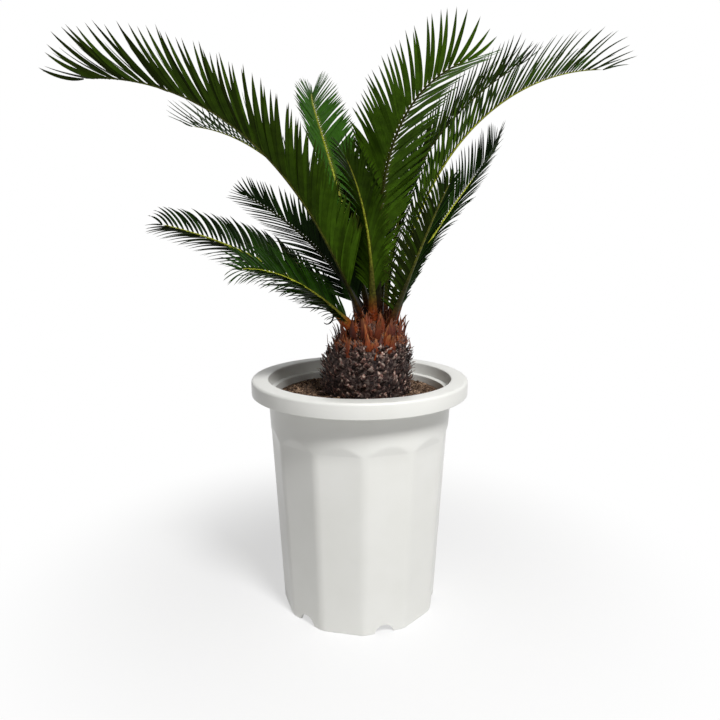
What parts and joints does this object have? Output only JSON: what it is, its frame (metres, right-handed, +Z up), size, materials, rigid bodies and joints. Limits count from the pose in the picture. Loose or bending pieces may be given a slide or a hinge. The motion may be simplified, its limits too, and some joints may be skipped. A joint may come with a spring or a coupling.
{
  "type": "potted sago palm",
  "caption": "Sago palm with stiff arching feather fronds on a scaly trunk, in soil in a white plastic pot with flat sides.",
  "frame": {"origin": "on the surface that the pot stands on, under the middle of the plant's spread", "axes": "+Z up, -Y towards the front, +X to the right seen from the front"},
  "size_m": [0.6387, 0.4245, 0.6488],
  "materials": {
    "pot": "satin",
    "soil": "matte",
    "trunk": "matte",
    "frond": "satin",
    "scale_leaf": "matte"
  },
  "bodies": {
    "root": {"pot": "pot", "soil": "soil", "trunk": "trunk", "frond_left_long": "frond", "frond_left_back": "frond", "frond_left_upper": "frond", "frond_left_low": "frond", "frond_left_front": "frond", "frond_back": "frond", "frond_back_right": "frond", "frond_back_low": "frond", "frond_centre": "frond", "frond_front_tall": "frond", "frond_right_tall": "frond", "frond_right_long": "frond", "frond_right_short": "frond", "frond_right_front": "frond", "scale_leaf_01": "scale_leaf", "scale_leaf_02": "scale_leaf", "scale_leaf_03": "scale_leaf", "scale_leaf_04": "scale_leaf", "scale_leaf_05": "scale_leaf", "scale_leaf_06": "scale_leaf", "scale_leaf_07": "scale_leaf", "scale_leaf_08": "scale_leaf", "scale_leaf_09": "scale_leaf", "scale_leaf_10": "scale_leaf", "scale_leaf_11": "scale_leaf", "scale_leaf_12": "scale_leaf", "scale_leaf_13": "scale_leaf", "scale_leaf_14": "scale_leaf", "scale_leaf_15": "scale_leaf", "scale_leaf_16": "scale_leaf"}
  },
  "joints": []
}
